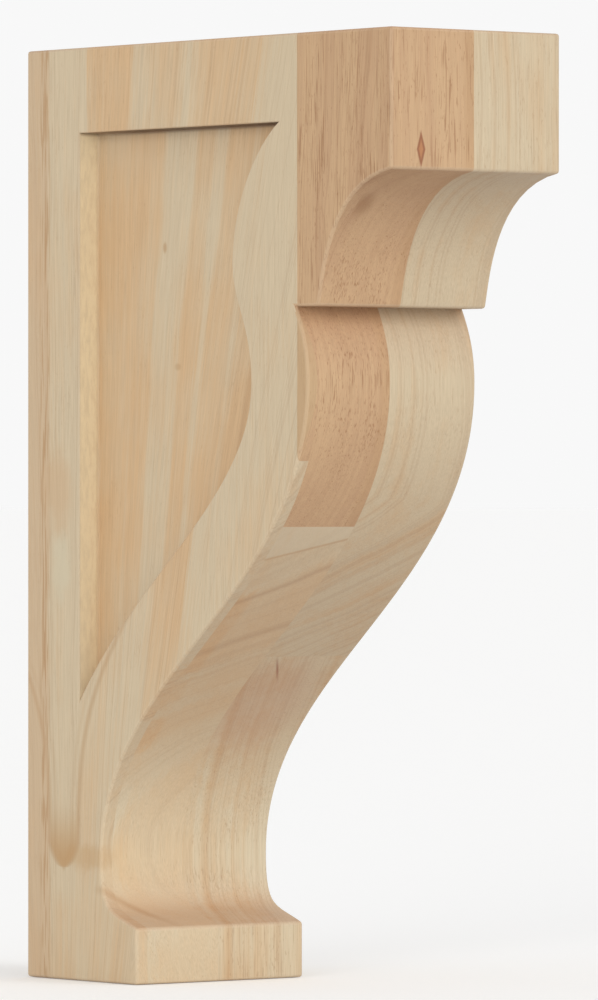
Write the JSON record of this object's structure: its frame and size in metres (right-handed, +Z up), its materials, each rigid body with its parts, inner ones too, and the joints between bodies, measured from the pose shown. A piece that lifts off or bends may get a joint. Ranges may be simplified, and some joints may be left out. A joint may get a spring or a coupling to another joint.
{
  "type": "corbel bracket",
  "caption": "Carved wooden corbel with a plain cap, a cove and ledge, a long S-shaped belly, a small foot and a sunk panel on each side.",
  "frame": {"origin": "centre of the flat back face that goes against the wall", "axes": "+Z up, +Y out of the back face into the wall, +X across the width; the front faces -Y"},
  "size_m": [0.0762, 0.2096, 0.3366],
  "materials": {
    "wood": "sanded bare hardwood, unsealed"
  },
  "bodies": {
    "root": {"corbel": "wood"}
  },
  "joints": []
}
